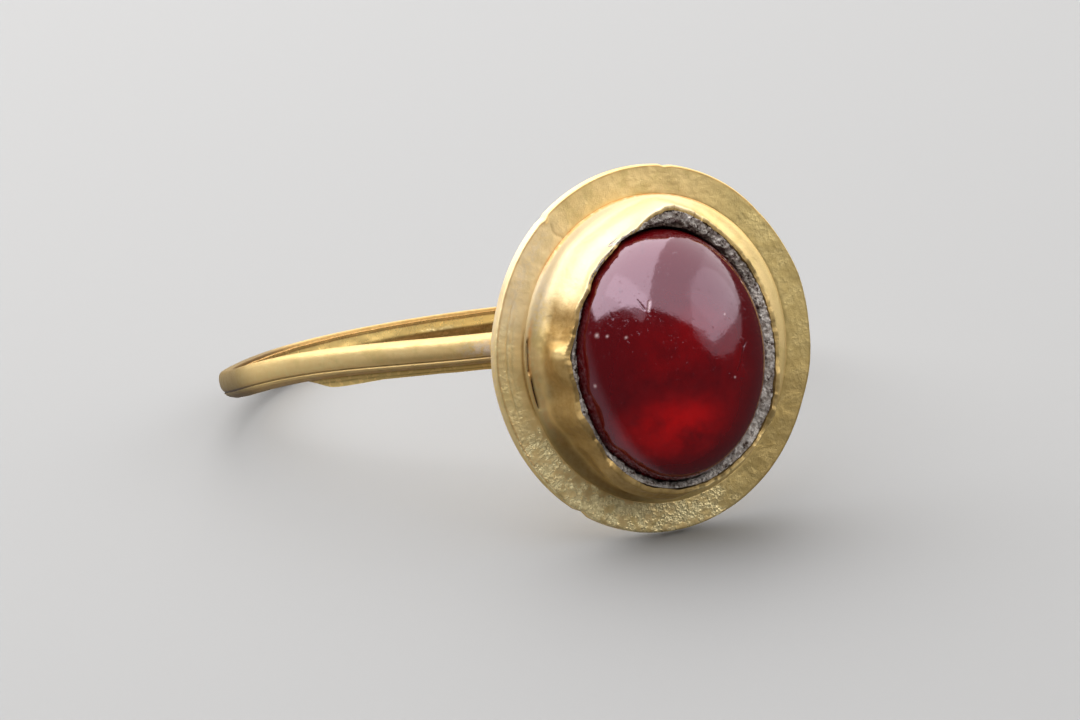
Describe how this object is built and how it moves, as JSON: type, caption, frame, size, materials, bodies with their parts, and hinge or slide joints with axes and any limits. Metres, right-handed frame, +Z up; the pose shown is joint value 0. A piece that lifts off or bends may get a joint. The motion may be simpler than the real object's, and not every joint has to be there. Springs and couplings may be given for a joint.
{
  "type": "cabochon ring",
  "caption": "Finger ring: slim round-backed hoop, nearly round bezel plate, flared ragged collar and a high-domed oval cabochon set in grey filler.",
  "frame": {"origin": "the middle of the finger hole, on the hoop's axis", "axes": "+Z up as the ring lies on its side, the setting faces -Y and leans a little upwards, +X is the setting's right as one looks at it"},
  "size_m": [0.0184, 0.0222, 0.0107],
  "materials": {
    "gold": "worn satin gold, bright where it is rubbed, dull in the hollows",
    "lining_gold": "yellow gold sheet, wavy and tarnished along the seam",
    "filler": "matt grey-white crumbly filler",
    "stone": "polished deep red stone with fine scratches"
  },
  "bodies": {
    "root": {"ring_body": "gold", "hoop_lining": "lining_gold", "filler": "filler", "stone": "stone"}
  },
  "joints": []
}
